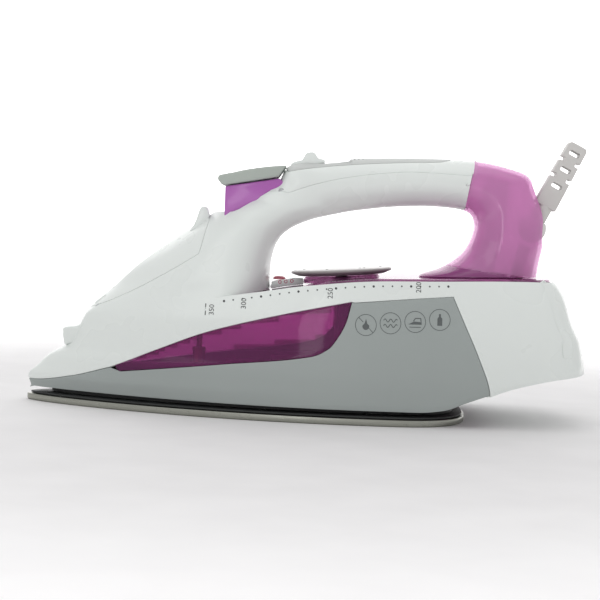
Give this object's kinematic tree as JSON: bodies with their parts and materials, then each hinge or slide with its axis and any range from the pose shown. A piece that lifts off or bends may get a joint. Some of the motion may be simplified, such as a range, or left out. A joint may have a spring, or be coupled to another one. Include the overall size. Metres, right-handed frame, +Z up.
{
  "type": "clothes iron",
  "caption": "Steam iron with a see-through purple water tank, white shell, loop handle, spray and steam buttons, turning dial and swivelling cord outlet.",
  "frame": {"origin": "centre of the bounding box on the plane that the sole rests on", "axes": "+X along the iron from the nose towards the heel, +Z up from the sole, +Y to the side away from the shown one"},
  "size_m": [0.2899, 0.12, 0.1462],
  "materials": {
    "steel": "brushed stainless steel",
    "aluminium": "as-cast aluminium",
    "black": "heat-proof black",
    "grey": "satin grey",
    "white": "glossy white",
    "purple": "see-through purple",
    "lilac": "see-through lilac",
    "button": "purple, glossy",
    "light_grey": "fine matt grey",
    "strip": "matt light grey",
    "rubber": "soft dark rubber",
    "brass": "turned brass",
    "lens": "pink pilot lens",
    "cable": "insulated wire"
  },
  "bodies": {
    "iron": {"soleplate": "steel", "heating_element": "steel", "steam_chamber_cover": "steel", "shroud_screw_1": "steel", "shroud_screw_2": "steel", "shroud_screw_3": "steel", "heel_screw_1": "steel", "heel_screw_2": "steel", "lid_pin": "steel", "button_pin": "steel", "spray_spring": "steel", "steam_spring": "steel", "heater_casting": "aluminium", "base_plate": "black", "heat_shroud": "black", "skirt": "grey", "body_shell": "white", "heel_cover": "white", "spray_nozzle": "white", "pointer_block": "white", "handle_shell": "white", "handle_top": "white", "handle_core": "white", "water_tank": "purple", "tank_cover": "purple", "shaft_sleeve": "purple", "rear_cover": "lilac", "grip_insert": "strip", "thermostat": "strip", "filler_neck": "strip", "spray_pump": "strip", "steam_pump": "strip", "spray_hose": "strip", "steam_hose": "strip", "terminal_block": "strip", "cord_clamp": "strip", "mains_lead": "strip", "tank_seal": "rubber", "filler_seal": "rubber", "thermal_fuse": "brass", "valve_seat": "brass", "pilot_lens": "lens", "live_wire": "cable", "neutral_wire": "cable", "earth_wire": "cable"},
    "filler_lid": {"filler_lid": "white"},
    "spray_button": {"spray_button": "button", "spray_button_cap": "light_grey"},
    "steam_button": {"steam_button": "button", "steam_button_cap": "light_grey"},
    "spray_plunger": {"spray_plunger": "white"},
    "steam_plunger": {"steam_plunger": "white"},
    "steam_slider": {"steam_slider": "white"},
    "valve_rod": {"valve_rod": "brass"},
    "temperature_dial": {"temperature_dial": "strip", "dial_shaft": "strip"},
    "cord_ball": {"cord_ball": "strip"},
    "cord_guard": {"cord_guard": "strip"}
  },
  "joints": [
    {"name": "lid_hinge", "type": "hinge", "parent": "iron", "child": "filler_lid", "pos_m": [-0.108, 0, 0.0506], "axis": [0, -1, 0], "range_deg": [0, 70]},
    {"name": "spray_button_hinge", "type": "hinge", "parent": "iron", "child": "spray_button", "pos_m": [-0.0145, 0, 0.1145], "axis": [0, -1, 0], "range_deg": [0, 8], "stiffness_Nm_per_rad": 1.4},
    {"name": "steam_button_hinge", "type": "hinge", "parent": "iron", "child": "steam_button", "pos_m": [-0.0145, 0, 0.1145], "axis": [0, -1, 0], "range_deg": [0, 8], "stiffness_Nm_per_rad": 1.4},
    {"name": "spray_plunger_slide", "type": "slide", "parent": "iron", "child": "spray_plunger", "axis": [0, 0, -1], "range_m": [0, 0.0046], "deforming": ["spray_spring"]},
    {"name": "steam_plunger_slide", "type": "slide", "parent": "iron", "child": "steam_plunger", "axis": [0, 0, -1], "range_m": [0, 0.0046], "deforming": ["steam_spring"]},
    {"name": "steam_slider_slide", "type": "slide", "parent": "iron", "child": "steam_slider", "axis": [0.9874, 0, 0.158], "range_m": [0, 0.01]},
    {"name": "valve_rod_slide", "type": "slide", "parent": "iron", "child": "valve_rod", "axis": [0, 0, 1], "range_m": [0, 0.0031]},
    {"name": "dial_turn", "type": "hinge", "parent": "iron", "child": "temperature_dial", "pos_m": [0.0184, 0, 0.075], "axis": [-0.0767, 0, 0.9971], "range_deg": [0, 280]},
    {"name": "cord_tilt", "type": "hinge", "parent": "iron", "child": "cord_ball", "pos_m": [0.1178, 0, 0.1], "axis": [0, 1, 0], "range_deg": [-10, 35]},
    {"name": "cord_swivel", "type": "hinge", "parent": "cord_ball", "child": "cord_guard", "pos_m": [0.1178, 0, 0.1], "axis": [0.4478, 0, 0.8942], "continuous": true}
  ],
  "couplings": [
    {"joint": "spray_plunger_slide", "follows": "spray_button_hinge", "m_per_rad": 0.0325},
    {"joint": "steam_plunger_slide", "follows": "steam_button_hinge", "m_per_rad": 0.0325},
    {"joint": "valve_rod_slide", "follows": "steam_slider_slide", "ratio": 0.3}
  ]
}
